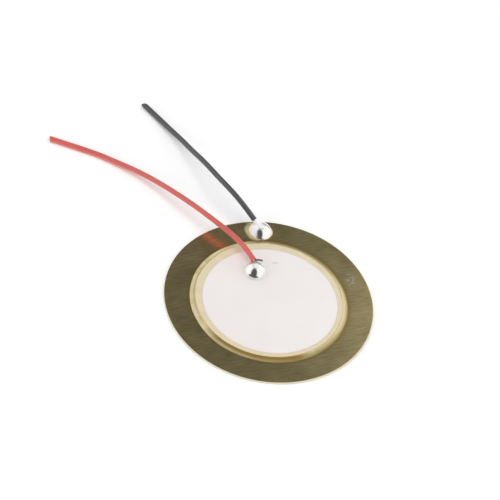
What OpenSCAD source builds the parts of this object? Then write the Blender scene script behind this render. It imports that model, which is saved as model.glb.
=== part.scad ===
// Piezo disc with two soldered leads.
// A brass plate carries a thin ceramic disc with a silver electrode fired on each face.
// The red lead is soldered to the upper electrode and the black lead to the bare brass.
// Millimetres. The origin is the centre of the plate's underside, +Z points out of the
// silvered face, and +Y runs from the centre through the solder joint on the brass.

/* [Brass plate] */
// Diameter of the brass plate
plate_d = 27; // [24:0.5:41]
// Thickness of the brass plate
plate_t = 0.30; // [0.1:0.02:0.6]
// Radius that the blanking die rolls over on the plate's top edge
rim_roll = 0.06; // [0.02:0.01:0.08]

/* [Ceramic element] */
// Diameter of the ceramic disc
ceramic_d = 19.0; // [14:0.1:19.4]
// Thickness of the ceramic disc
ceramic_t = 0.20; // [0.1:0.01:0.5]
// Bevel that breaks the ceramic's upper edge
ceramic_bevel = 0.02; // [0.01:0.01:0.04]
// Thickness of each fired silver electrode
electrode_t = 0.01; // [0.005:0.005:0.03]
// Width of bare ceramic left round the upper electrode
upper_margin = 0.70; // [0.3:0.05:1.5]
// How far along X the upper electrode is printed off the ceramic's centre
print_shift_x = 0.10; // [-0.25:0.01:0.25]
// How far along Y it is printed off the ceramic's centre
print_shift_y = -0.22; // [-0.25:0.01:0.25]
// Width of bare ceramic left round the lower electrode
lower_margin = 0.15; // [0.05:0.05:0.5]

/* [Adhesive bond] */
// Thickness of the adhesive film under the lower electrode
film_t = 0.02; // [0.01:0.005:0.05]
// How far the squeezed-out adhesive runs past the ceramic
fillet_w = 0.70; // [0.2:0.05:1]
// How far it climbs the ceramic's edge, from the plate
fillet_h = 0.19; // [0.06:0.01:0.2]

/* [Solder joints] */
// Radius of the solder on the electrode, at its foot
silver_joint_r = 1.48; // [1:0.01:1.7]
// Height of the solder on the electrode
silver_joint_h = 1.25; // [0.8:0.01:1.4]
// Radius at the root of the neck that this solder wicks up the red lead
silver_neck_r = 0.45; // [0.4:0.01:0.5]
// Distance of the solder on the electrode from the disc's centre
silver_joint_reach = 4.80; // [3:0.1:6]
// Angle of the solder on the electrode, turned from +Y towards -X
silver_joint_turn = 17.5; // [0:0.5:30]
// Radius of the solder on the brass, at its foot
brass_joint_r = 1.58; // [1:0.01:1.65]
// Height of the solder on the brass
brass_joint_h = 1.00; // [0.8:0.01:1.4]
// Clear brass between that solder and the plate's rim
rim_gap = 0.07; // [0.05:0.01:0.3]
// Radius at the root of the neck that this solder wicks up the black lead
brass_neck_r = 0.60; // [0.4:0.01:0.65]

/* [Leads] */
// Outer diameter of each lead's insulation
lead_d = 0.70; // [0.6:0.02:0.9]
// Diameter of each lead's stranded conductor
conductor_d = 0.30; // [0.2:0.02:0.4]
// Clearance round the conductor, in the insulation and in the solder
conductor_gap = 0.01; // [0.005:0.005:0.03]

/* [Hidden] */

$fn = 96;
lead_sides = 8;
meniscus_steps = 8;

// Levels, from the plate's underside up
film_z = plate_t;
lower_z = film_z + film_t;
ceramic_z = lower_z + electrode_t;
upper_z = ceramic_z + ceramic_t;
top_z = upper_z + electrode_t;

// Radii
plate_r = plate_d / 2;
ceramic_r = ceramic_d / 2;
lower_r = ceramic_r - lower_margin;
upper_r = ceramic_r - upper_margin;
fillet_r = ceramic_r + fillet_w;

// The adhesive climbs no higher than the ceramic's own edge
climb = min(fillet_h, upper_z - ceramic_bevel - film_z);

// Where each solder joint stands
silver_joint_at = [
    -silver_joint_reach * sin(silver_joint_turn), silver_joint_reach * cos(silver_joint_turn),
    top_z
];
brass_joint_at = [0, plate_r - rim_gap - brass_joint_r, plate_t];

// Each lead's points. X and Y are measured from the middle of its solder joint, and Z from
// a line that falls evenly from the solder's seat to the bench. The first point is the tip
// of the bare conductor, inside the solder, and the insulation starts at the second.
RED_POINTS = [
    [0.4, 0.1, 0.55], [-0.15, 1.3, 0.85], [-1.2, 3.2, 1.2], [-2.3, 4.6, 1.45],
    [-3.6, 6.0, 1.6], [-4.9, 7.3, 1.7], [-6.1, 8.6, 1.7], [-7.4, 10.0, 1.65],
    [-8.7, 11.4, 1.5], [-10.0, 12.8, 1.3], [-11.2, 14.1, 1.05], [-12.5, 15.4, 0.8],
    [-13.9, 16.6, 0.6], [-15.4, 17.7, 0.45], [-16.9, 18.7, 0.3], [-18.5, 19.7, 0.2],
    [-20.2, 20.5, 0.2], [-21.9, 21.2, 0.2], [-23.6, 21.9, 0.2], [-25.3, 22.6, 0.2]
];
BLACK_POINTS = [
    [0.1, -0.1, 0.3], [-0.9, 0.9, 1.2], [-2.2, 2.1, 2.35], [-3.3, 3.4, 2.95],
    [-4.4, 4.9, 3.2], [-5.3, 6.4, 3.1], [-6.1, 8.0, 2.9], [-6.9, 9.6, 2.65],
    [-7.6, 11.2, 2.15], [-8.3, 12.7, 1.7], [-9.0, 14.3, 1.3], [-9.8, 15.9, 0.9],
    [-10.7, 17.5, 0.6], [-11.6, 19.0, 0.4], [-12.6, 20.5, 0.3], [-13.7, 22.0, 0.2]
];

// A lead's points in the part's own frame, none lower than where it lies on the bench
function route_from(at, points) =
    let (last = len(points) - 1)
    [for (i = [0 : last])
        let (p = points[i])
        [at.x + p.x, at.y + p.y, max(p.z + at.z * (1 - i / last), lead_d / 2)]];

red_route = route_from(silver_joint_at, RED_POINTS);
black_route = route_from(brass_joint_at, BLACK_POINTS);

// Unit vector along v
function unit(v) = v / norm(v);

// Direction of travel at point i of a route, straight along its bare first stretch
function heading(route, i) = unit(
    i < 2 ? route[1] - route[0] : route[min(i + 1, len(route) - 1)] - route[i - 1]
);

// One ring of points round point i of a route, square to it
function ring(route, i, r) =
    let (
        ahead = heading(route, i),
        side = unit(cross(ahead, [0, 0, 1])),
        over = cross(side, ahead)
    )
    [for (k = [0 : lead_sides - 1])
        let (a = 360 * k / lead_sides)
        route[i] + r * (cos(a) * side + sin(a) * over)];

// Side faces between two rings whose points start at numbers a and b
function band(a, b) = [for (k = [0 : lead_sides - 1])
    let (next = (k + 1) % lead_sides)
    [a + k, a + next, b + next, b + k]];

// The same faces turned inside out
function flipped(faces) = [for (face = faces) [face[3], face[2], face[1], face[0]]];

// Solid rod swept along a whole route
module rod(route, r) {
    last = len(route) - 1;
    n = lead_sides;
    points = [for (i = [0 : last]) each ring(route, i, r)];
    sides = [for (i = [0 : last - 1]) each band(i * n, (i + 1) * n)];
    first_cap = [for (k = [n - 1 : -1 : 0]) k];
    last_cap = [for (k = [0 : n - 1]) last * n + k];
    polyhedron(points, concat(sides, [first_cap, last_cap]));
}

// Open-ended tube swept along a route from its second point on
module tube(route, outer_r, inner_r) {
    last = len(route) - 1;
    n = lead_sides;
    inner = last * n;
    points = [
        for (i = [1 : last]) each ring(route, i, outer_r),
        for (i = [1 : last]) each ring(route, i, inner_r)
    ];
    outside = [for (i = [0 : last - 2]) each band(i * n, (i + 1) * n)];
    inside = [for (i = [0 : last - 2]) each band(inner + i * n, inner + (i + 1) * n)];
    first_rim = band(inner, 0);
    last_rim = band(inner + (last - 1) * n, (last - 1) * n);
    polyhedron(points, concat(outside, flipped(inside), first_rim, flipped(last_rim)));
}

// Stands its children, which point up, at point a facing point b
module aimed(a, b) {
    way = b - a;
    translate(a)
        rotate([0, acos(way.z / norm(way)), atan2(way.y, way.x)])
            children();
}

// Solder dome that stands at a place on a face, with a neck that runs up the lead to its
// insulation and a bore that holds the bare conductor
module solder_joint(at, foot_r, height, neck_r, route) {
    ball_r = (foot_r * foot_r + height * height) / (2 * height);
    tip = route[0];
    lead_end = route[1];
    stub = norm(lead_end - tip);
    clear = 2 * foot_r;
    difference() {
        union() {
            translate(at + [0, 0, height - ball_r]) sphere(ball_r);
            aimed(tip, lead_end) cylinder(h = stub, r1 = neck_r, r2 = lead_d / 2);
        }
        aimed(tip, lead_end)
            cylinder(h = clear, r = conductor_d / 2 + conductor_gap);
        translate(at - [0, 0, clear]) cylinder(h = clear, r = clear);
    }
}

module brass_plate() {
    color("darkkhaki")
        rotate_extrude()
            union() {
                square([plate_r - rim_roll, plate_t]);
                square([plate_r, plate_t - rim_roll]);
                translate([plate_r - rim_roll, plate_t - rim_roll]) circle(rim_roll);
            }
}

// Film under the ceramic, which rises round the lower electrode, and the meniscus that
// the squeezed-out adhesive forms against the ceramic's edge
module bond_body() {
    meniscus = [for (i = [0 : meniscus_steps])
        let (a = 90 * i / meniscus_steps)
        [fillet_r - fillet_w * sin(a), film_z + climb * (1 - cos(a))]];
    rotate_extrude()
        polygon(concat(
            [[0, film_z]],
            meniscus,
            [[ceramic_r, ceramic_z], [lower_r, ceramic_z], [lower_r, lower_z], [0, lower_z]]
        ));
}

module bond_layer() {
    color("goldenrod") bond_body();
}

module lower_electrode() {
    color("silver")
        translate([0, 0, lower_z]) cylinder(h = electrode_t, r = lower_r);
}

module ceramic_body() {
    translate([0, 0, ceramic_z]) {
        cylinder(h = ceramic_t - ceramic_bevel, r = ceramic_r);
        translate([0, 0, ceramic_t - ceramic_bevel])
            cylinder(h = ceramic_bevel, r1 = ceramic_r, r2 = ceramic_r - ceramic_bevel);
    }
}

module ceramic_disc() {
    color("cornsilk") ceramic_body();
}

module upper_electrode() {
    color("gainsboro")
        translate([print_shift_x, print_shift_y, upper_z])
            cylinder(h = electrode_t, r = upper_r);
}

module electrode_solder() {
    color("whitesmoke")
        solder_joint(silver_joint_at, silver_joint_r, silver_joint_h, silver_neck_r, red_route);
}

// The solder on the brass flows round the adhesive and the ceramic where it reaches them
module plate_solder() {
    color("whitesmoke")
        difference() {
            solder_joint(
                brass_joint_at, brass_joint_r, brass_joint_h, brass_neck_r, black_route
            );
            bond_body();
            ceramic_body();
        }
}

module insulation(route) {
    bore_r = (conductor_d / 2 + conductor_gap) / cos(180 / lead_sides);
    tube(route, lead_d / 2, bore_r);
}

module red_insulation() {
    color("indianred") insulation(red_route);
}

module red_conductor() {
    color("lightsteelblue") rod(red_route, conductor_d / 2);
}

module black_insulation() {
    color("dimgray") insulation(black_route);
}

module black_conductor() {
    color("lightsteelblue") rod(black_route, conductor_d / 2);
}

brass_plate();
bond_layer();
lower_electrode();
ceramic_disc();
upper_electrode();
electrode_solder();
plate_solder();
red_insulation();
red_conductor();
black_insulation();
black_conductor();
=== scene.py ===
# A piezo disc: a blanked brass plate, a silvered ceramic disc bonded to it, and a red and a
# black lead soldered on. Metres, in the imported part's own frame, +Z out of the silvered face.

import math

import bpy
import numpy as np
from mathutils import Matrix, Vector, noise


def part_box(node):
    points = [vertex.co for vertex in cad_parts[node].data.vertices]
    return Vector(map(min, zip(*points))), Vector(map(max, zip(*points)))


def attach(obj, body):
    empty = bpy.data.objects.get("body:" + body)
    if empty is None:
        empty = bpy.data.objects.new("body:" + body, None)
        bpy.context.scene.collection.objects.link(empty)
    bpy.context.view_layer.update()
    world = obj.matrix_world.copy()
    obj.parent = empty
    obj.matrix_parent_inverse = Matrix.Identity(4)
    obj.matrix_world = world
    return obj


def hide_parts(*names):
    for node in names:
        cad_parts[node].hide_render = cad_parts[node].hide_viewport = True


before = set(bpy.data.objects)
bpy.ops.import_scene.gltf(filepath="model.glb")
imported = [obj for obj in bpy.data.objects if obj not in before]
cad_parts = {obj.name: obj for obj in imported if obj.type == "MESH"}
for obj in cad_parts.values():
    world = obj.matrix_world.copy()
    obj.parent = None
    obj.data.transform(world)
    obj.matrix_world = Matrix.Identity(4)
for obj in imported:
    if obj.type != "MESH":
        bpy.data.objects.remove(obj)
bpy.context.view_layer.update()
mm = 0.001
print("frame loaded:", len(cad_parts), "nodes")

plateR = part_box("brass_plate")[1].x
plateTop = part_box("brass_plate")[1].z
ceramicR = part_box("ceramic_disc")[1].x
printLow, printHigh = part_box("upper_electrode")
silverTop = printHigh.z


# An sRGB hex colour as the linear one that the shaders want
def linearColour(code):
    channels = [int(code[i : i + 2], 16) / 255 for i in (1, 3, 5)]
    return [c / 12.92 if c <= 0.04045 else ((c + 0.055) / 1.055) ** 2.4 for c in channels] + [1]


# Adds a node; an input is a value or the socket that feeds it
def addNode(tree, kind, inputs=None, **settings):
    node = tree.nodes.new("ShaderNode" + kind)
    for name, value in settings.items():
        setattr(node, name, value)
    for key, value in (inputs or {}).items():
        if isinstance(value, bpy.types.NodeSocket):
            tree.links.new(value, node.inputs[key])
        else:
            node.inputs[key].default_value = value
    return node


# A material with one shader, and the place on the object that its patterns follow
def newMaterial(name, inputs):
    material = bpy.data.materials.new(name)
    material.use_nodes = True
    tree = material.node_tree
    tree.nodes.clear()
    shader = addNode(tree, "BsdfPrincipled", inputs)
    addNode(tree, "OutputMaterial", {"Surface": shader.outputs[0]})
    place = addNode(tree, "TexCoord").outputs["Object"]
    return material, tree, shader, place


# A tone that wanders from dark to light over patches of a real size, and how light it is
def mottled(tree, place, patch, look, detail):
    inputs = {"Vector": place, "Scale": 1 / patch, "Detail": detail}
    share = addNode(tree, "TexNoise", inputs).outputs["Fac"]
    inputs = {0: share, 6: linearColour(look["dark"]), 7: linearColour(look["light"])}
    tone = addNode(tree, "Mix", inputs, data_type="RGBA").outputs[2]
    return tone, share


# Lays colours over a tone, each where its share says
def layered(tree, tone, layers):
    for share, colour in layers:
        inputs = {0: share, 6: tone, 7: linearColour(colour)}
        tone = addNode(tree, "Mix", inputs, data_type="RGBA").outputs[2]
    return tone


# The camera looks down on the disc from the side away from the leads. Angles are in degrees.

camera = {
    "aim": Vector((-1.69, 8.51, 0.30)) * mm,
    "distance": 0.420,
    "azimuth": -14.0,
    "elevation": 47.53,
    "roll": 11.93,
    "lens": 234.1,  # mm, as is the sensor
    "sensor": 36,
    "clip": (0.01, 20),
}


def makeCamera(c):
    azimuth, elevation, roll = (math.radians(c[k]) for k in ("azimuth", "elevation", "roll"))
    level = math.cos(elevation)
    back = Vector((math.sin(azimuth) * level, -math.cos(azimuth) * level, math.sin(elevation)))
    right = Vector((math.cos(azimuth), math.sin(azimuth), 0))
    up = back.cross(right)
    rolledRight = right * math.cos(roll) + up * math.sin(roll)
    rolledUp = up * math.cos(roll) - right * math.sin(roll)
    data = bpy.data.cameras.new("camera")
    data.lens, data.sensor_width = c["lens"], c["sensor"]
    data.clip_start, data.clip_end = c["clip"]
    eye = bpy.data.objects.new("camera", data)
    turn = Matrix((rolledRight, rolledUp, back)).transposed().to_4x4()
    eye.matrix_world = Matrix.Translation(c["aim"] + back * c["distance"]) @ turn
    bpy.context.collection.objects.link(eye)
    bpy.context.scene.camera = eye


makeCamera(camera)
bpy.context.scene.view_settings.view_transform = "Standard"
print("camera set")


# Quads between rings of points that follow each other
def gridFaces(rows, columns, start=0):
    faces = []
    for row in range(rows - 1):
        a = start + row * columns
        for column in range(columns):
            after = (column + 1) % columns
            faces.append((a + column, a + after, a + columns + after, a + columns + column))
    return faces


# The same, with a face across each end
def closedTube(rings, start=0):
    rows, columns = rings.shape[:2]
    faces = gridFaces(rows, columns, start)
    faces.append(tuple(start + k for k in range(columns - 1, -1, -1)))
    faces.append(tuple(start + (rows - 1) * columns + k for k in range(columns)))
    return faces


# A mesh piece. Edges sharper than so many degrees stay crisp, and each share is a number on
# every point for the material to read.
def makePiece(name, points, faces, materials, sharp=60, faceMaterials=None, shares=None):
    mesh = bpy.data.meshes.new(name)
    mesh.from_pydata([tuple(p) for p in points], [], faces)
    for material in materials:
        mesh.materials.append(material)
    if faceMaterials:
        mesh.polygons.foreach_set("material_index", faceMaterials)
    for share, values in (shares or {}).items():
        mesh.attributes.new(share, "FLOAT", "POINT").data.foreach_set("value", values)
    mesh.polygons.foreach_set("use_smooth", [True] * len(mesh.polygons))
    mesh.update()
    mesh.set_sharp_from_angle(angle=math.radians(sharp))
    piece = bpy.data.objects.new(name, mesh)
    bpy.context.collection.objects.link(piece)
    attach(piece, "root")
    return piece


# Each lead's points: x and y from the middle of its solder joint, and z from a line that
# falls evenly from the solder's seat to the bench. The first is the bare conductor's tip and
# the second the insulation's end.
redPoints = [
    (0.4, 0.1, 0.55), (-0.15, 1.3, 0.85), (-1.2, 3.2, 1.2), (-2.3, 4.6, 1.45),
    (-3.6, 6.0, 1.6), (-4.9, 7.3, 1.7), (-6.1, 8.6, 1.7), (-7.4, 10.0, 1.65),
    (-8.7, 11.4, 1.5), (-10.0, 12.8, 1.3), (-11.2, 14.1, 1.05), (-12.5, 15.4, 0.8),
    (-13.9, 16.6, 0.6), (-15.4, 17.7, 0.45), (-16.9, 18.7, 0.3), (-18.5, 19.7, 0.2),
    (-20.2, 20.5, 0.2), (-21.9, 21.2, 0.2), (-23.6, 21.9, 0.2), (-25.3, 22.6, 0.2),
]
blackPoints = [
    (0.1, -0.1, 0.3), (-0.9, 0.9, 1.2), (-2.2, 2.1, 2.35), (-3.3, 3.4, 2.95),
    (-4.4, 4.9, 3.2), (-5.3, 6.4, 3.1), (-6.1, 8.0, 2.9), (-6.9, 9.6, 2.65),
    (-7.6, 11.2, 2.15), (-8.3, 12.7, 1.7), (-9.0, 14.3, 1.3), (-9.8, 15.9, 0.9),
    (-10.7, 17.5, 0.6), (-11.6, 19.0, 0.4), (-12.6, 20.5, 0.3), (-13.7, 22.0, 0.2),
]

lead = {
    "outerR": 0.35 * mm,
    "boreR": 0.165 * mm,
    "boreDepth": 1.2 * mm,  # how far in from each end the strands are modelled
    "strandR": 0.05 * mm,
    "strandLay": 3.2 * mm,  # one turn of the twist
    "outerStrands": 6,  # round one in the middle
    "crease": 50,  # degrees past which an edge stays crisp
    "step": 0.22 * mm,
    "evening": 30,  # passes that even out the points' wobble
    "sides": 28,
    "strandSides": 8,
}

# The strands of the red lead that missed its joint: they stick out behind it in a stub, which is
# coloured dark grey. Points are from the joint's middle.
strayStrand = {
    "points": [(-0.1, 1.25, 0.95), (0.25, 1.2, 0.95), (0.6, 1.25, 0.88), (1.0, 1.3, 0.75)],
    "radius": 0.13 * mm,
}

# The solder joint on the silver and the one on the brass
silverJoint = {
    "reach": 4.8 * mm,
    "turn": math.radians(17.5),
    "footR": 1.48 * mm,
    "height": 1.25 * mm,
    "rootR": 0.24 * mm,  # of the neck that runs up the lead
    "endR": 0.20 * mm,
    "neckBlend": 0.20 * mm,
    "frostDepth": 0.08 * mm,  # how far down the frost on its top and neck reaches
    "frostSide": 1.5,  # share of its radius towards -X past which it is frosted: none here
}
brassJoint = {
    "rimGap": 0.07 * mm,
    "footR": 1.58 * mm,
    "height": 1.00 * mm,
    "rootR": 0.42 * mm,
    "endR": 0.30 * mm,
    "neckBlend": 0.25 * mm,
    "frostDepth": 0.08 * mm,
    "frostSide": 0.3,
}
away = Vector((0, silverJoint["reach"], silverTop))
silverJoint["foot"] = Matrix.Rotation(silverJoint["turn"], 3, "Z") @ away
brassJoint["foot"] = Vector((0, plateR - brassJoint["rimGap"] - brassJoint["footR"], plateTop))


# A lead's points in the part's frame, none lower than where it lies on the bench
def routeFrom(foot, points):
    last = len(points) - 1
    route = []
    for i, (x, y, z) in enumerate(points):
        height = max(z * mm + foot.z * (1 - i / last), lead["outerR"])
        route.append(Vector((foot.x + x * mm, foot.y + y * mm, height)))
    return route


# A smooth curve through the points, straight over the first stretch
def smoothLine(points, step):
    p = [np.array(q) for q in points]
    ends = [p[0] * 2 - p[1], *p, p[-1] * 2 - p[-2]]
    line = []
    for i in range(1, len(ends) - 2):
        a, b, c, d = ends[i - 1 : i + 3]
        outSlope, inSlope = (c - a) / 2, (d - b) / 2
        if i == 1:
            outSlope = inSlope = c - b
        if i == 2:
            outSlope = (b - a) / np.linalg.norm(b - a) * np.linalg.norm(c - b)
        count = max(2, round(np.linalg.norm(c - b) / step))
        for t in np.arange(count) / count:
            line.append(
                (2 * t**3 - 3 * t**2 + 1) * b
                + (t**3 - 2 * t**2 + t) * outSlope
                + (3 * t**2 - 2 * t**3) * c
                + (t**3 - t**2) * inSlope
            )
    line.append(p[-1])
    return np.array(line)


# Evens out the wobble of the listed points, on the line from its start-th point on
def evenOut(line, start, passes):
    for _ in range(passes):
        bend = line[start:-2] - 2 * line[start + 1 : -1] + line[start + 2 :]
        line[start + 1 : -1] += bend / 4
    return line


# Two directions square to the line at each point, carried along without twist
def crossFrames(line):
    ahead = np.gradient(line, axis=0)
    ahead /= np.linalg.norm(ahead, axis=1)[:, None]
    side = np.cross(ahead[0], (0, 0, 1))
    sides = []
    for way in ahead:
        side = side - way * side.dot(way)
        side = side / np.linalg.norm(side)
        sides.append(side)
    sides = np.array(sides)
    return sides, np.cross(sides, ahead)


# A ring of points round each point of the line
def tubeRings(line, frames, radius, sides):
    side, over = frames
    angle = 2 * math.pi * np.arange(sides) / sides
    ring = np.cos(angle)[None, :, None] * side[:, None]
    ring += np.sin(angle)[None, :, None] * over[:, None]
    return line[:, None] + ring * radius


# Slides the last ring's points along the lead onto a plane square to an axis
def cutEnd(rings, line, axis):
    way = line[-1] - line[-2]
    way /= np.linalg.norm(way)
    for k in range(rings.shape[1]):
        rings[-1, k] += way * ((line[-1][axis] - rings[-1, k][axis]) / way[axis])
    return rings


# A lead along its points, cut off square to an axis. The materials are those of its jacket,
# its strands and the stray ones.
def makeLead(colour, points, foot, cutAxis, materials, stray=None):
    route = routeFrom(foot, points)
    line = smoothLine(route, lead["step"])
    start = int(np.argmin(np.linalg.norm(line - np.array(route[1]), axis=1)))
    line = evenOut(line, start, lead["evening"])
    frames = crossFrames(line)
    depth = round(lead["boreDepth"] / lead["step"])

    # the jacket: out of the near bore, along the outside and into the far bore
    covered = (line[start:], [f[start:] for f in frames])
    outer = cutEnd(tubeRings(*covered, lead["outerR"], lead["sides"]), line, cutAxis)
    inner = cutEnd(tubeRings(*covered, lead["boreR"], lead["sides"]), line, cutAxis)
    rings = np.concatenate([inner[depth::-1], outer, inner[: -depth - 1 : -1]])
    skin = list(rings.reshape(-1, 3))
    faces = closedTube(rings)
    kinds = [0] * len(faces)

    # the twisted strands, where they show at the two ends
    along = np.concatenate([[0], np.cumsum(np.linalg.norm(np.diff(line, axis=0), axis=1))])
    twist = 2 * math.pi * along / lead["strandLay"]
    for strand in range(lead["outerStrands"] + 1):
        away = 0 if strand == 0 else 2 * lead["strandR"]
        turn = 2 * math.pi * strand / lead["outerStrands"] + twist
        outward = np.cos(turn)[:, None] * frames[0] + np.sin(turn)[:, None] * frames[1]
        rings = tubeRings(line + away * outward, frames, lead["strandR"], lead["strandSides"])
        rings = cutEnd(rings, line, cutAxis)
        for stretch in (rings[: start + depth], rings[-depth:]):
            faces += closedTube(stretch, len(skin))
            skin += list(stretch.reshape(-1, 3))
    kinds += [1] * (len(faces) - len(kinds))

    # the stub of loose strands
    if stray:
        loose = smoothLine([foot + Vector(p) * mm for p in stray["points"]], lead["step"])
        rings = tubeRings(loose, crossFrames(loose), stray["radius"], lead["strandSides"])
        faces += closedTube(rings, len(skin))
        skin += list(rings.reshape(-1, 3))
        kinds += [2] * (len(faces) - len(kinds))

    jacketNode = colour + "_insulation"
    piece = makePiece(
        colour + "_lead", skin, faces, materials, lead["crease"], kinds
    )
    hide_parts(jacketNode, colour + "_conductor")
    return line, start


redPvcLook = {"dark": "#bf5b53", "light": "#ce6c65", "roughness": 0.42, "bleed": 0.6}
blackPvcLook = {"dark": "#424344", "light": "#4e4f50", "roughness": 0.36, "bleed": 0.0}
pvcSkin = {
    "patch": 3 * mm,
    "dieLine": 0.1 * mm,
    "dieLineDepth": 0.02 * mm,
    "bleedReach": 0.3 * mm,
    "bleedColour": (1.0, 0.3, 0.2),
}


# Soft PVC, extruded: dull highlights, and in the red a little light that bleeds through.
def softPvc(name, look):
    material, tree, shader, place = newMaterial(
        name,
        {
            "Roughness": look["roughness"],
            "IOR": 1.52,
            "Subsurface Weight": look["bleed"],
            "Subsurface Radius": pvcSkin["bleedColour"],
            "Subsurface Scale": pvcSkin["bleedReach"],
        },
    )
    tone, _ = mottled(tree, place, pvcSkin["patch"], look, 2)
    tree.links.new(tone, shader.inputs["Base Color"])
    # the real skin's die lines are about 0.02 mm across, drawn here at 0.1 mm so that they show
    inputs = {"Vector": place, "Scale": 1 / pvcSkin["dieLine"], "Detail": 3}
    skin = addNode(tree, "TexNoise", inputs).outputs["Fac"]
    inputs = {"Height": skin, "Strength": 0.12, "Distance": pvcSkin["dieLineDepth"]}
    bump = addNode(tree, "Bump", inputs)
    tree.links.new(bump.outputs[0], shader.inputs["Normal"])
    return material


tinnedLook = {"dark": "#b9b4aa", "light": "#dcd9d2", "metallic": 1, "patch": 0.2 * mm}
darkStrandLook = {"dark": "#54504c", "light": "#77716b", "metallic": 0.4, "patch": 0.2 * mm}


# Copper strand, drawn and hot tinned: a grey-white metal, a little dull. The stray stub is given
# a dark grey that shines less.
def copperStrand(name, look):
    inputs = {"Metallic": look["metallic"], "Roughness": 0.3}
    material, tree, shader, place = newMaterial(name, inputs)
    tone, _ = mottled(tree, place, look["patch"], look, 2)
    tree.links.new(tone, shader.inputs["Base Color"])
    return material


redPvc = softPvc("red PVC", redPvcLook)
blackPvc = softPvc("black PVC", blackPvcLook)
tinned = copperStrand("tinned copper", tinnedLook)
darkStrand = copperStrand("dark grey copper", darkStrandLook)
redSkins = [redPvc, tinned, darkStrand]
redLead = makeLead("red", redPoints, silverJoint["foot"], 0, redSkins, strayStrand)
blackLead = makeLead("black", blackPoints, brassJoint["foot"], 1, [blackPvc, tinned])


solderLook = {
    "dark": "#e8e6e3",
    "light": "#f8f8f8",
    "cloud": 0.6 * mm,
    "clearRoughness": 0.06,
    "cloudyRoughness": 0.13,
    "frostRoughness": 0.55,
    "frostMetallic": 0.3,
}


# Tin solder, melted and set bright: a near mirror that clouds a little, and a frosted skin
# where it set last. The mesh carries that share.
def tinSolder(s):
    material, tree, shader, place = newMaterial("tin solder", {"Metallic": 1})
    tone, clouds = mottled(tree, place, s["cloud"], s, 3)
    tree.links.new(tone, shader.inputs["Base Color"])
    inputs = {0: clouds, 1: 0.35, 2: 0.7, 3: s["clearRoughness"], 4: s["cloudyRoughness"]}
    dull = addNode(tree, "MapRange", inputs).outputs[0]
    frosted = addNode(tree, "Attribute", attribute_name="frosted").outputs["Fac"]
    rough = addNode(tree, "Mix", {0: frosted, 2: dull, 3: s["frostRoughness"]})
    tree.links.new(rough.outputs[0], shader.inputs["Roughness"])
    metal = addNode(tree, "MapRange", {0: frosted, 3: 1, 4: s["frostMetallic"]})
    tree.links.new(metal.outputs[0], shader.inputs["Metallic"])
    return material


# The lesser of two distances, rounded off where they are within reach of each other
def smoothMin(a, b, reach):
    h = np.maximum(reach - np.abs(a - b), 0) / reach
    return np.minimum(a, b) - h * h * reach / 4


# How finely a joint's skin is made, and how far out each ray looks for it
solderSkin = {
    "rows": 56,
    "columns": 96,
    "farthest": 3 * mm,
    "halvings": 40,
    "tolerance": 1e-9,
}


# A solder joint as one smooth skin: a dome on its seat, with a neck up the lead. Rings fan
# from the seat to the neck's end, and each point is found along its ray.
def makeSolder(name, joint, leadLine, material, node):
    line, start = leadLine
    foot = np.array(joint["foot"])
    footR, height = joint["footR"], joint["height"]
    ballR = (footR**2 + height**2) / (2 * height)
    ball = foot + (0, 0, height - ballR)
    tip, end = line[0], line[start]
    neckLength = np.linalg.norm(end - tip)
    way = (end - tip) / neckLength

    def distance(p):
        dome = np.linalg.norm(p - ball, axis=-1) - ballR
        # the neck goes on a little at both ends
        t = np.clip((p - tip) @ way / neckLength, -0.2, 1.3)
        radius = joint["rootR"] + (joint["endR"] - joint["rootR"]) * np.clip(t, 0, 1)
        stem = np.linalg.norm(p - tip - (t * neckLength)[..., None] * way, axis=-1) - radius
        return smoothMin(dome, stem, joint["neckBlend"])

    # the fan's hinge: where the plane across the neck's end meets the seat
    level = math.hypot(way[0], way[1])
    heading = np.array((way[0], way[1], 0)) / level
    across = np.cross(heading, (0, 0, 1))
    hinge = foot + heading * ((end - foot) @ heading + (end - foot)[2] * way[2] / level)
    rows, columns = solderSkin["rows"], solderSkin["columns"]
    turn = 2 * math.pi * np.arange(columns) / columns
    points = []
    for u in np.linspace(0, 1, rows):
        middle = (1 - u) ** 2 * foot + 2 * u * (1 - u) * tip + u * u * end
        outward = middle - hinge
        outward -= across * (outward @ across)
        outward /= np.linalg.norm(outward)
        rays = np.cos(turn)[:, None] * across + np.sin(turn)[:, None] * outward
        low = np.zeros(columns)
        high = np.full(columns, solderSkin["farthest"])
        # a ray that points down stops at the seat, and one that lies in it doesn't
        down = rays[:, 2] < -1e-6
        high[down] = np.minimum(high[down], (middle[2] - foot[2]) / -rays[down, 2])
        for _ in range(solderSkin["halvings"]):
            half = (low + high) / 2
            out = distance(middle + rays * half[:, None]) > -solderSkin["tolerance"]
            high = np.where(out, half, high)
            low = np.where(out, low, half)
        points += list(middle + rays * low[:, None])
    points = np.array(points)
    # the top's frost is full over a third of its depth, and the side's after a quarter radius
    belowTop = foot[2] + height - points[:, 2]
    top = 1.5 - 1.5 * belowTop / joint["frostDepth"]
    side = 4 * ((foot[0] - points[:, 0]) / footR - joint["frostSide"])
    frosted = np.clip(np.maximum(top, side), 0, 1)
    faces = closedTube(points.reshape(rows, columns, 3))
    piece = makePiece(name, points, faces, [material], shares={"frosted": frosted})
    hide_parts(node)


solder = tinSolder(solderLook)
makeSolder("bright_solder_on_silver", silverJoint, redLead, solder, "electrode_solder")
makeSolder("bright_solder_on_brass", brassJoint, blackLead, solder, "plate_solder")
print("solder made")


resin = {
    "patch": 1.2 * mm,
    "roughness": 0.3,
    "coatRoughness": 0.04,
    "metallic": 0.3,  # a little of the brass shows through all of it
}
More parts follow.
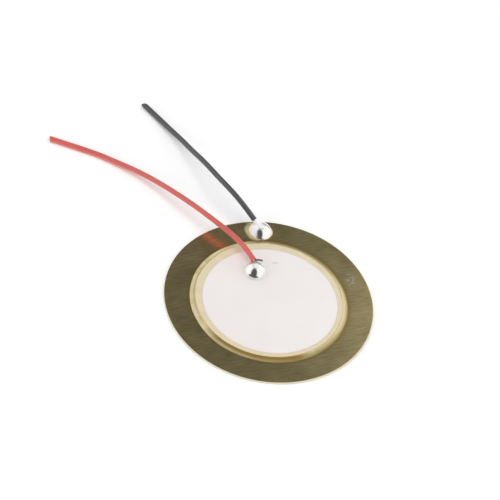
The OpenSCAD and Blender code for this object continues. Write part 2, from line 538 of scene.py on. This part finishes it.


# Clear amber resin, set hard: glossy over a cream body. The mesh carries a share for each of its
# other looks, such as where deep amber is painted on as shade, and the last is where it has
# thinned out until the brass shows through.
def clearResin(name, look, shares):
    inputs = {
        "Roughness": resin["roughness"],
        "Coat Weight": 1,
        "Coat Roughness": resin["coatRoughness"],
        "Coat IOR": 1.5,
    }
    material, tree, shader, place = newMaterial(name, inputs)
    inputs = {"Vector": place, "Scale": 1 / resin["patch"], "Detail": 3}
    patches = addNode(tree, "TexNoise", inputs).outputs["Fac"]
    spread = addNode(tree, "MapRange", {0: patches, 1: 0.3, 2: 0.7}).outputs[0]
    inputs = {0: spread, 6: linearColour(look["dark"]), 7: linearColour(look["light"])}
    tone = addNode(tree, "Mix", inputs, data_type="RGBA").outputs[2]
    masks = [addNode(tree, "Attribute", attribute_name=s).outputs["Fac"] for s in shares]
    tone = layered(tree, tone, [(mask, look[share]) for mask, share in zip(masks, shares)])
    tree.links.new(tone, shader.inputs["Base Color"])
    metal = addNode(tree, "MapRange", {0: masks[-1], 3: resin["metallic"], 4: 1})
    tree.links.new(metal.outputs[0], shader.inputs["Metallic"])
    return material


# How far an angle lies inside a side of the circle: 0 outside it, rising to 1 over a fade at
# each of its ends. A side is its start, its end and the two fades, in degrees.
def inside(angle, side):
    start, end, fadeIn, fadeOut = side
    into = (angle - start) % 360
    left = end - start - into
    return min(max(min(into / fadeIn, left / fadeOut), 0), 1)


# 0 before the start and 1 after the end
def rise(value, start, end):
    return min(max((value - start) / (end - start), 0), 1)


# The adhesive squeezed out round the ceramic. Angles are in degrees from +X.
adhesive = {
    "width": 0.70 * mm,
    "climb": 0.21 * mm,  # where it has crept up over the ceramic's edge
    "lowClimb": 0.08 * mm,  # where that edge stays bare
    "filmSide": (-78, 105, 22, 12),
    "thinSide": (5, 120, 20, 20),  # the part of it that is thinnest
    # the side towards the camera, where deep amber is painted on as shade and dark reflection
    "shadeSide": (-155, -60, 18, 12),
    "lipSide": (-155, -60, 1, 80),  # where the painted shade fades out towards the foot, leaving a paler lip
    "shadeLineSide": (112, 215, 8, 15),  # a thin line of painted shade beside the ceramic's edge
    "filmShare": 0.85,
    "thinShare": 0.9,
    "lipShare": 0.55,
    "shadeLineShare": 0.42,
    "rows": 14,
    "columns": 360,  # one a degree
    "wander": 0.08,  # share by which its foot strays
    "waves": 2.2,  # how often it does, as a radius in the noise
    "seed": 5,
    "lean": 0.12,  # share by which it is wider on the side that the ceramic was pressed to
    "leanTo": -95,
    "dark": "#e0cf9c",
    "light": "#f3e6bd",
    "film": "#b8a576",
    # the deep amber of the painted shade and dark reflection
    "paintedShade": "#94793a",
    "thin": "#d0ba72",
}


# A hollow fillet round the ceramic's edge. Out is 0 at that edge and about 1 at the fillet's
# foot, and says where across the fillet each look lies.
def makeAdhesive(a):
    columns = a["columns"]
    points = []
    shares = {"film": [], "paintedShade": [], "thin": []}
    for row in range(a["rows"] + 1):
        t = 0.5 * math.pi * row / a["rows"]
        for column in range(columns):
            angle = 360 * column / columns
            turn = math.radians(angle)
            spot = (a["waves"] * math.cos(turn), a["waves"] * math.sin(turn), a["seed"])
            stray = a["wander"] * noise.noise(spot)
            stray += a["lean"] * math.cos(turn - math.radians(a["leanTo"]))
            out = (1 + stray) * (1 - math.sin(t))
            film = inside(angle, a["filmSide"])
            climb = a["lowClimb"] + (a["climb"] - a["lowClimb"]) * film
            r = ceramicR + a["width"] * out
            z = plateTop + climb * (1 - math.cos(t))
            points.append((r * math.cos(turn), r * math.sin(turn), z))

            # it thins towards its foot, and from its very top on its thinnest side
            veil = inside(angle, a["thinSide"])
            thin = rise(out, 0.3 - 0.35 * veil, 1.15 - 0.15 * veil)
            # painted shade in deep amber on the side towards the camera, eased off towards the
            # foot's lip
            paintedShade = inside(angle, a["shadeSide"])
            lip = a["lipShare"] * inside(angle, a["lipSide"]) * rise(out, 0.35, 0.7)
            # a thin line of painted shade beside the ceramic's edge, in the same deep amber
            shadeLine = a["shadeLineShare"] * inside(angle, a["shadeLineSide"])
            shadeLine *= rise(out, 0.02, 0.14) * (1 - rise(out, 0.22, 0.42))
            shares["film"].append(a["filmShare"] * film)
            shares["paintedShade"].append(max(paintedShade * (1 - lip), shadeLine))
            shares["thin"].append(a["thinShare"] * film * thin)

    # straight down the ceramic's edge, and back under the fillet to its foot
    for column in range(columns):
        turn = 2 * math.pi * column / columns
        points.append((ceramicR * math.cos(turn), ceramicR * math.sin(turn), plateTop))
    for values in shares.values():
        values += values[-columns:]
    faces = gridFaces(a["rows"] + 2, columns)
    bottom = (a["rows"] + 1) * columns
    for column in range(columns):
        after = (column + 1) % columns
        faces.append((bottom + column, bottom + after, after, column))
    material = clearResin("amber epoxy", a, list(shares))
    piece = makePiece("epoxy_meniscus", points, faces, [material], shares=shares)
    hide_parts("bond_layer")


makeAdhesive(adhesive)
print("adhesive made")


# Rosin flux that ran out of the joint on the brass and set round its one side. Angles are
# in degrees from +X, round the joint's middle.
rosin = {
    "start": 95,
    "end": 262,
    "step": 3,
    "blunt": 2,  # so much further on, each end would come to a point
    "width": 0.80 * mm,
    "height": 0.12 * mm,
    "tuck": 0.15 * mm,  # how far it starts inside the solder
    "rim": 0.10 * mm,  # kept clear along the plate's edge
    "rows": 8,
    "wander": 0.2,
    "waves": 2,
    "seed": 9,
    "dark": "#bcab70",
    "light": "#d9cc98",
    "thin": "#cdbe8f",
}


# A low film that is widest half way round, and thins out over the outer half of its width
def makeRosin(r):
    start, end, blunt = r["start"], r["end"], r["blunt"]
    middle = brassJoint["foot"]
    inner = brassJoint["footR"] - r["tuck"]
    points = []
    thin = []
    angles = range(start, end + 1, r["step"])
    for angle in angles:
        turn = math.radians(angle)
        way = Vector((math.cos(turn), math.sin(turn), 0))
        spot = (r["waves"] * way.x, r["waves"] * way.y, r["seed"])
        stray = 1 + r["wander"] * noise.noise(spot)
        share = math.sin(math.pi * rise(angle, start - blunt, end + blunt))
        reach = r["width"] * stray * math.sqrt(share)
        while (middle + way * (inner + reach)).xy.length > plateR - r["rim"]:
            reach *= 0.95
        points.append(middle + way * inner)
        thin.append(0)
        for row in range(r["rows"] + 1):
            out = row / r["rows"]
            up = Vector((0, 0, r["height"] * (1 - out) ** 1.5))
            points.append(middle + way * (inner + reach * out) + up)
            thin.append(rise(out, 0.5, 1))
    rings = np.array(points).reshape(len(angles), -1, 3)
    material = clearResin("rosin flux", r, ["thin"])
    makePiece("rosin_film", points, closedTube(rings), [material], shares={"thin": thin})


makeRosin(rosin)
print("rosin made")


# The plate, the ceramic and its silver stay as packed and get their finishes here.


# How far out a place lies from an upright axis
def farOut(tree, place, axis):
    apart = addNode(tree, "VectorMath", {0: place, 1: axis}, operation="SUBTRACT")
    flat = addNode(tree, "VectorMath", {0: apart.outputs[0], 1: (1, 1, 0)}, operation="MULTIPLY")
    return addNode(tree, "VectorMath", {0: flat.outputs[0]}, operation="LENGTH").outputs["Value"]


# A soft oval, 1 inside the first share of its half widths and 0 outside the second
def softOval(tree, place, middle, half, core, edge):
    apart = addNode(tree, "VectorMath", {0: place, 1: middle}, operation="SUBTRACT")
    scaled = addNode(tree, "VectorMath", {0: apart.outputs[0], 1: half}, operation="DIVIDE")
    far = addNode(tree, "VectorMath", {0: scaled.outputs[0]}, operation="LENGTH").outputs["Value"]
    inputs = {0: far, 1: core, 2: edge, 3: 1, 4: 0}
    return addNode(tree, "MapRange", inputs, interpolation_type="SMOOTHSTEP").outputs[0]


# How squarely a face looks up: the Z of its normal
def facingUp(tree):
    normal = addNode(tree, "TexCoord").outputs["Normal"]
    return addNode(tree, "SeparateXYZ", {0: normal}).outputs["Z"]


brass = {
    "dark": "#b3a270",
    "light": "#ead8a3",
    "footShade": "#c9b064",  # painted shade, a darker golden band beside the adhesive's foot
    "footShadeShare": 0.8,
    "footShadeReach": 0.55 * mm,
    "cut": "#f0e8d2",  # the blanked edge, which is fresh metal
    "scuffed": "#f3e8c4",
    "scuffAt": (11.0 * mm, 3.6 * mm, 0),
    "scuffHalf": (1.1 * mm, 1.9 * mm, 1),
    "scuffCrumb": 0.35 * mm,
    "grainAngle": math.radians(15),
    "grainWidth": 0.18 * mm,
    "grainLength": 2.2 * mm,
    "grainDepth": 0.02 * mm,
    "patch": 4 * mm,
    "patchShare": 0.4,  # of the tone, the rest being grain
    "roughness": (0.28, 0.30),
}


# Brass sheet, cold rolled and scuffed one way: satin, with straight lines of grain. The real
# lines are about 0.02 mm across, drawn here at 0.18 mm so that they show.
def rolledBrass(b):
    material, tree, shader, place = newMaterial("rolled brass", {"Metallic": 1})
    inputs = {"Vector": place, "Angle": -b["grainAngle"]}
    turned = addNode(tree, "VectorRotate", inputs, rotation_type="Z_AXIS").outputs[0]
    inputs = {0: turned, 1: (1 / b["grainLength"], 1 / b["grainWidth"], 0)}
    stretched = addNode(tree, "VectorMath", inputs, operation="MULTIPLY").outputs[0]
    inputs = {"Vector": stretched, "Scale": 1, "Detail": 2, "Roughness": 0.5}
    lines = addNode(tree, "TexNoise", inputs).outputs["Fac"]
    lines = addNode(tree, "MapRange", {0: lines, 1: 0.28, 2: 0.72}).outputs[0]
    inputs = {"Vector": place, "Scale": 1 / b["patch"], "Detail": 4, "Roughness": 0.6}
    patches = addNode(tree, "TexNoise", inputs).outputs["Fac"]
    patches = addNode(tree, "MapRange", {0: patches, 1: 0.3, 2: 0.7}).outputs[0]
    mixed = addNode(tree, "Mix", {0: b["patchShare"], 2: lines, 3: patches}).outputs[0]
    inputs = {0: mixed, 6: linearColour(b["dark"]), 7: linearColour(b["light"])}
    tone = addNode(tree, "Mix", inputs, data_type="RGBA").outputs[2]

    # painted shade in a thin band beside the adhesive's foot, a scuffed patch, and the bright cut
    # edge
    out = farOut(tree, place, (0, 0, 0))
    foot = ceramicR + adhesive["width"]
    inputs = {0: out, 1: foot, 2: foot + b["footShadeReach"], 3: b["footShadeShare"], 4: 0}
    footShade = addNode(tree, "MapRange", inputs).outputs[0]
    inputs = {"Vector": place, "Scale": 1 / b["scuffCrumb"], "Detail": 3}
    crumbs = addNode(tree, "TexNoise", inputs).outputs["Fac"]
    crumbs = addNode(tree, "MapRange", {0: crumbs, 1: 0.45, 2: 0.62}).outputs[0]
    oval = softOval(tree, place, b["scuffAt"], b["scuffHalf"], 0.2, 1)
    scuffed = addNode(tree, "Math", {0: crumbs, 1: oval}, operation="MULTIPLY").outputs[0]
    inputs = {0: facingUp(tree), 1: 0.2, 2: 0.7, 3: 1, 4: 0}
    cut = addNode(tree, "MapRange", inputs).outputs[0]
    layers = [(footShade, b["footShade"]), (scuffed, b["scuffed"]), (cut, b["cut"])]
    tree.links.new(layered(tree, tone, layers), shader.inputs["Base Color"])

    least, most = b["roughness"]
    rough = addNode(tree, "MapRange", {0: patches, 3: least, 4: most})
    tree.links.new(rough.outputs[0], shader.inputs["Roughness"])
    furrows = addNode(tree, "TexNoise", {"Vector": stretched, "Scale": 1, "Detail": 1})
    inputs = {"Height": furrows.outputs["Fac"], "Strength": 0.02, "Distance": b["grainDepth"]}
    bump = addNode(tree, "Bump", inputs)
    tree.links.new(bump.outputs[0], shader.inputs["Normal"])
    return material


silverPrint = {
    "dark": "#ebe5e2",
    "light": "#f3eeec",
    "cloud": 5 * mm,
    "thin": "#d2c6b2",  # where the paste thins out at the print's edge
    "edge": 0.20 * mm,
    "rubbed": "#d3cecd",  # a faint mark beside the solder
    "rubAt": (1.35 * mm, 6.18 * mm, 0),
    "rubHalf": (0.65 * mm, 0.26 * mm, 1),
    "grit": 0.15 * mm,
    "gritDepth": 0.01 * mm,
}


# Silver paste, screen printed and fired: a matt white metal that thins at its edge.
def firedSilver(s):
    inputs = {"Metallic": 0.2, "Roughness": 0.5}
    material, tree, shader, place = newMaterial("fired silver", inputs)
    tone, _ = mottled(tree, place, s["cloud"], s, 4)
    out = farOut(tree, place, (printLow + printHigh) / 2)
    radius = (printHigh.x - printLow.x) / 2
    thinning = addNode(tree, "MapRange", {0: out, 1: radius - s["edge"], 2: radius}).outputs[0]
    rubbed = softOval(tree, place, s["rubAt"], s["rubHalf"], 0, 1)
    tone = layered(tree, tone, [(thinning, s["thin"]), (rubbed, s["rubbed"])])
    tree.links.new(tone, shader.inputs["Base Color"])
    # the paste's grit is a few microns across, drawn here at 0.15 mm so that it shows
    grit = addNode(tree, "TexNoise", {"Vector": place, "Scale": 1 / s["grit"], "Detail": 3})
    inputs = {"Height": grit.outputs["Fac"], "Strength": 0.15, "Distance": s["gritDepth"]}
    bump = addNode(tree, "Bump", inputs)
    tree.links.new(bump.outputs[0], shader.inputs["Normal"])
    return material


ceramic = {
    "dark": "#cfc09c",
    "light": "#dfd3b4",
    "cloud": 1 * mm,
    "edge": "#a08144",  # stained by the adhesive
}


# Lead zirconate titanate, sintered and lapped: a dense cream ceramic, matt and even.
def lappedCeramic(c):
    inputs = {"Roughness": 0.5, "IOR": 2.0, "Specular IOR Level": 0.3}
    material, tree, shader, place = newMaterial("lapped ceramic", inputs)
    tone, _ = mottled(tree, place, c["cloud"], c, 4)
    inputs = {0: facingUp(tree), 1: 0.35, 2: 0.65, 3: 1, 4: 0}
    edge = addNode(tree, "MapRange", inputs).outputs[0]
    tone = layered(tree, tone, [(edge, c["edge"])])
    tree.links.new(tone, shader.inputs["Base Color"])
    return material


def giveMaterial(node, material):
    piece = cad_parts[node]
    if not piece.material_slots:
        piece.data.materials.append(material)
    for slot in piece.material_slots:
        slot.material = material


silver = firedSilver(silverPrint)
giveMaterial("brass_plate", rolledBrass(brass))
giveMaterial("upper_electrode", silver)
giveMaterial("lower_electrode", silver)
giveMaterial("ceramic_disc", lappedCeramic(ceramic))
print("finishes given")


# A white tent round the object, with a dark gap where the camera stands in front and a dimmer
# wall behind, which the brass reflects.

studio = {
    "dome": 1.1,
    "spotFade": (0.75, 1.15),
    "spots": [
        # middle and half width: to the side, away and up as the camera sees it; level there
        ((0.0, 0.60, 0.76), (0.48, 0.50, 0.42), 0.115),
        ((0.0, 0.95, 0.10), (0.70, 0.50, 0.42), 0.45),
        ((-0.08, -0.48, 0.52), (0.54, 0.95, 0.70), 0.10),
        ((-0.25, -0.90, 0.05), (1.05, 0.40, 0.40), 0.115),
    ],
    "lamps": [
        # name, place, size, power, and whether it shows to diffuse and to glossy surfaces
        ("softbox_above", (-0.10, 0.10, 0.60), 0.70, 2.05, True, False),
        ("softbox_left", (-0.45, -0.27, 0.21), 0.25, 0.55, True, False),
        ("card_front", (0.10, -0.40, 0.06), 0.20, 0.50, True, False),
        ("card_right", (0.068, 0.055, 0.060), 0.06, 0.014, False, True),
    ],
    # stands for what the brass throws back up on the leads, so nothing blocks it
    "bounce": ("bounce_below", (0.0, -0.25, -0.22), 0.30, 1.1, True, False),
    "floorHalf": 1.5,
    "floorLit": 0.70,  # how pale it is to the light that it throws back
    "floorSeen": 0.95,
}


def makeWorld(s):
    world = bpy.data.worlds.new("studio")
    bpy.context.scene.world = world
    world.use_nodes = True
    tree = world.node_tree
    tree.nodes.clear()
    way = addNode(tree, "TexCoord").outputs["Generated"]
    turn = math.radians(-camera["azimuth"])
    turned = addNode(tree, "VectorRotate", {"Vector": way, "Angle": turn}, rotation_type="Z_AXIS")
    level = s["dome"]
    for middle, half, dark in s["spots"]:
        spot = softOval(tree, turned.outputs[0], middle, half, *s["spotFade"])
        level = addNode(tree, "Mix", {0: spot, 2: level, 3: dark}).outputs[0]
    background = addNode(tree, "Background", {"Strength": level, "Color": (1, 1, 1, 1)})
    addNode(tree, "OutputWorld", {"Surface": background.outputs[0]})


def makeLamps(s):
    for name, place, size, power, diffuse, glossy in [*s["lamps"], s["bounce"]]:
        data = bpy.data.lights.new(name, "AREA")
        data.size = size
        data.energy = power
        data.use_shadow = name != s["bounce"][0]
        lamp = bpy.data.objects.new(name, data)
        lamp.location = place
        lamp.rotation_euler = Vector(place).to_track_quat("Z", "Y").to_euler()
        lamp.visible_diffuse = diffuse
        lamp.visible_glossy = glossy
        bpy.context.collection.objects.link(lamp)


# White paper, a shade lighter where it is seen straight or in a reflection
def makeFloor(s):
    half = s["floorHalf"]
    mesh = bpy.data.meshes.new("floor")
    corners = [(-half, -half, 0), (half, -half, 0), (half, half, 0), (-half, half, 0)]
    mesh.from_pydata(corners, [], [(0, 1, 2, 3)])
    floor = bpy.data.objects.new("floor", mesh)
    bpy.context.collection.objects.link(floor)
    material = bpy.data.materials.new("white paper")
    material.use_nodes = True
    tree = material.node_tree
    tree.nodes.clear()
    rays = addNode(tree, "LightPath").outputs
    seen = rays["Is Camera Ray"]
    for ray in ("Is Glossy Ray", "Is Transmission Ray"):
        seen = addNode(tree, "Math", {0: seen, 1: rays[ray]}, operation="MAXIMUM").outputs[0]
    shade = addNode(tree, "Mix", {0: seen, 2: s["floorLit"], 3: s["floorSeen"]})
    paper = addNode(tree, "BsdfDiffuse", {"Color": shade.outputs[0]})
    addNode(tree, "OutputMaterial", {"Surface": paper.outputs[0]})
    mesh.materials.append(material)


makeWorld(studio)
makeLamps(studio)
makeFloor(studio)
print("studio made")
